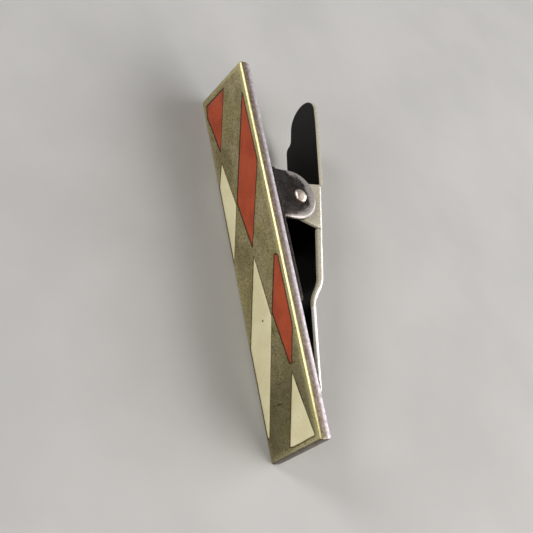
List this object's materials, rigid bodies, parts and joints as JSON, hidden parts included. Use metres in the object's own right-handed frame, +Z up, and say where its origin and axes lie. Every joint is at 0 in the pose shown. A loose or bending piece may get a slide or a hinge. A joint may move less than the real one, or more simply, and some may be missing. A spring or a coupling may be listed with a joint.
{
  "type": "tie clip",
  "caption": "Straight enamelled tie clip: a bevelled brass bar with counter-changed diagonal stripes and a sprung lever clip on its back.",
  "frame": {"origin": "middle of the bar's lower long edge, at mid-length and mid-thickness; the part stands on this edge as it is worn", "axes": "+X along the bar, from the thumb tab's end towards the jaw's end; +Y out of the bar's back, towards the lever; +Z up across the bar's width"},
  "size_m": [0.042, 0.0111, 0.0082],
  "materials": {
    "brass": "tarnished, pitted",
    "red_enamel": "glossy, slightly worn",
    "cream_enamel": "glossy, slightly worn",
    "solder": "dull grey solder",
    "clip_metal": "dull, darkened plating",
    "lever_metal": "worn plating, bright on the edges",
    "pin_metal": "bright, peened",
    "spring_steel": "dark, oiled"
  },
  "bodies": {
    "bar": {"face_bar": "brass", "enamel_red_1": "red_enamel", "enamel_red_2": "red_enamel", "enamel_red_3": "red_enamel", "enamel_cream_1": "cream_enamel", "enamel_cream_2": "cream_enamel", "enamel_cream_3": "cream_enamel", "solder_layer": "solder", "clip_base": "clip_metal", "pivot_pin": "pin_metal", "leaf_spring": "spring_steel"},
    "lever": {"lever": "lever_metal"}
  },
  "joints": [
    {"name": "lever_hinge", "type": "hinge", "parent": "bar", "child": "lever", "pos_m": [-0.00515, 0.00385, 0.0041], "axis": [0, 0, 1], "range_deg": [0, 30], "stiffness_Nm_per_rad": 0.03, "springref_deg": -28.65, "deforming": ["leaf_spring"]}
  ]
}
